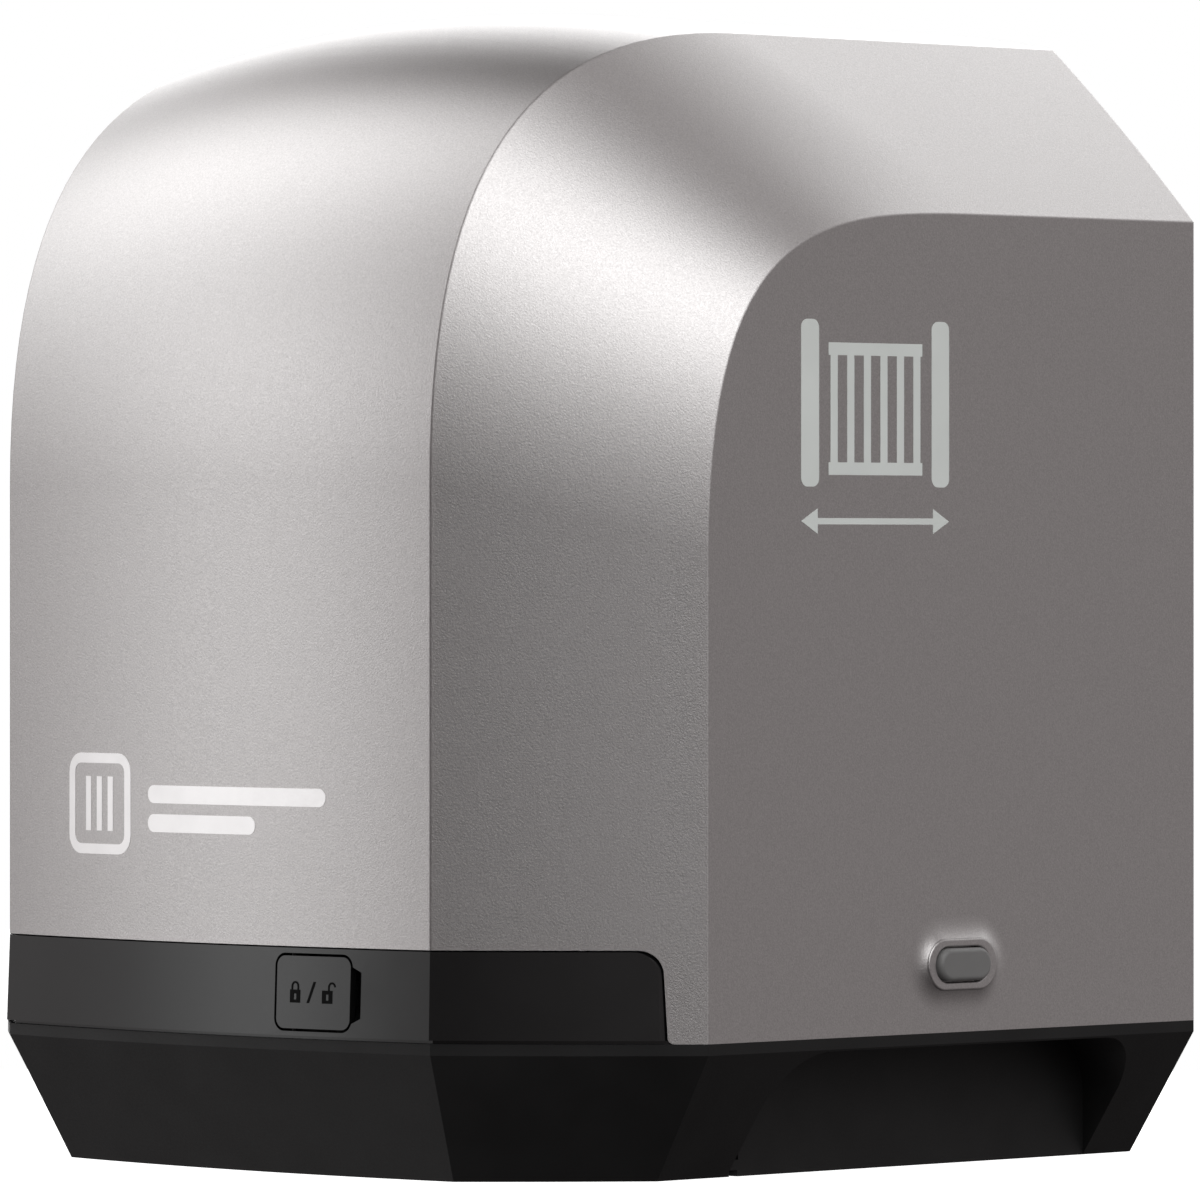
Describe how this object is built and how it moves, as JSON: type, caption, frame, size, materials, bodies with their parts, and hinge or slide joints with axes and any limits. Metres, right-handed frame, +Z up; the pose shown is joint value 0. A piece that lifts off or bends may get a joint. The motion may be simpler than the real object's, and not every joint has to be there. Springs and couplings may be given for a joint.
{
  "type": "sliding gate opener",
  "caption": "Sliding-gate drive with a lift-off crowned metal cover, black base, key release behind a flap and a worm-gear motor that turns a rack pinion at the back.",
  "frame": {"origin": "centre of the four anchor slots on the underside of the base", "axes": "+Z up, +Y towards the gate, along the output shaft to its pinion, +X to the right of the front as its user faces +Y"},
  "size_m": [0.2654, 0.267, 0.2989],
  "materials": {
    "silver_shell": "fine satin metallic lacquer",
    "button_plastic": "satin",
    "spring_steel": "plain",
    "base_black": "fine matt grain",
    "seal_rubber": "matt",
    "apron_black": "satin",
    "blackened_steel": "blackened",
    "bronze": "machined",
    "bright_steel": "turned",
    "gear_steel": "machined, zinc plated",
    "zinc_steel": "zinc plated",
    "bearing_steel": "ground",
    "cast_alloy": "die cast",
    "motor_paint": "gloss black",
    "ferrite": "sintered",
    "copper_winding": "laminated steel and copper",
    "lock_alloy": "die cast, dark",
    "board_green": "solder mask",
    "relay_blue": "gloss",
    "capacitor_sleeve": "gloss",
    "terminal_green": "plain",
    "core_steel": "laminated",
    "coil_tape": "tape",
    "gland_nylon": "plain"
  },
  "bodies": {
    "chassis": {"base_housing": "base_black", "cover_gasket": "seal_rubber", "rear_riser": "base_black", "front_apron": "apron_black", "flap_pin": "blackened_steel", "front_bearing": "bearing_steel", "rear_bearing": "bearing_steel", "worm_lower_bearing": "bearing_steel", "worm_upper_bearing": "bearing_steel", "oil_seal": "seal_rubber", "gearbox_case": "cast_alloy", "gearbox_cover": "cast_alloy", "gearbox_screws": "zinc_steel", "motor_flange": "cast_alloy", "motor_can": "motor_paint", "motor_magnets": "ferrite", "motor_brushes": "ferrite", "motor_end_bell": "motor_paint", "lock_body": "lock_alloy", "board_tray": "base_black", "control_board": "board_green", "board_relays": "relay_blue", "board_capacitor": "capacitor_sleeve", "terminal_blocks": "terminal_green", "board_screws": "zinc_steel", "transformer_bracket": "zinc_steel", "transformer_core": "core_steel", "transformer_coil": "coil_tape", "cable_gland": "gland_nylon", "cover_forks": "base_black", "clutch_spring": "spring_steel"},
    "cover": {"cover": "silver_shell", "button_spring_right": "spring_steel", "button_spring_left": "spring_steel"},
    "button_right": {"side_button_right": "button_plastic", "button_clip_right": "spring_steel"},
    "button_left": {"side_button_left": "button_plastic", "button_clip_left": "spring_steel"},
    "flap": {"release_flap": "apron_black"},
    "output": {"output_shaft": "bright_steel", "shaft_keys": "bright_steel", "output_pinion": "gear_steel", "pinion_screw": "zinc_steel"},
    "wheel": {"worm_wheel": "bronze"},
    "worm": {"worm_shaft": "bright_steel", "motor_armature": "copper_winding", "encoder_disc": "apron_black", "encoder_screw": "zinc_steel"},
    "key": {"key_cylinder": "bright_steel", "release_rod": "bright_steel"},
    "fork": {"release_fork": "bronze"},
    "dog": {"dog_clutch": "gear_steel"}
  },
  "joints": [
    {"name": "cover_lift", "type": "slide", "parent": "chassis", "child": "cover", "axis": [0, 0, 1], "range_m": [0, 0.32]},
    {"name": "button_right_press", "type": "slide", "parent": "cover", "child": "button_right", "axis": [-1, 0, 0], "range_m": [0, 0.0015], "stiffness_N_per_m": 900, "springref_m": -0.001, "deforming": ["button_spring_right"]},
    {"name": "button_left_press", "type": "slide", "parent": "cover", "child": "button_left", "axis": [1, 0, 0], "range_m": [0, 0.0015], "stiffness_N_per_m": 900, "springref_m": -0.001, "deforming": ["button_spring_left"]},
    {"name": "flap_open", "type": "hinge", "parent": "chassis", "child": "flap", "pos_m": [0.0342, -0.11926, 0.04725], "axis": [0, 0, -1], "range_deg": [0, 105]},
    {"name": "output_spin", "type": "hinge", "parent": "chassis", "child": "output", "pos_m": [0, 0.1, 0.082], "axis": [0, 1, 0], "continuous": true},
    {"name": "wheel_spin", "type": "hinge", "parent": "chassis", "child": "wheel", "pos_m": [0, 0.055, 0.082], "axis": [0, 1, 0], "continuous": true},
    {"name": "worm_spin", "type": "hinge", "parent": "chassis", "child": "worm", "pos_m": [-0.0475, 0.055, 0.1], "axis": [0, 0, 1], "continuous": true},
    {"name": "key_turn", "type": "hinge", "parent": "chassis", "child": "key", "pos_m": [0.0422, -0.1, 0.0472], "axis": [0, 1, 0], "range_deg": [0, 90]},
    {"name": "fork_shift", "type": "slide", "parent": "chassis", "child": "fork", "axis": [0, 1, 0], "range_m": [-0.006, 0]},
    {"name": "dog_shift", "type": "slide", "parent": "output", "child": "dog", "axis": [0, 1, 0], "range_m": [-0.006, 0], "deforming": ["clutch_spring"]}
  ],
  "couplings": [
    {"joint": "wheel_spin", "follows": "output_spin", "ratio": 1},
    {"joint": "worm_spin", "follows": "output_spin", "ratio": -30},
    {"joint": "key_turn", "follows": "fork_shift", "rad_per_m": -261.79},
    {"joint": "dog_shift", "follows": "fork_shift", "ratio": 1}
  ]
}
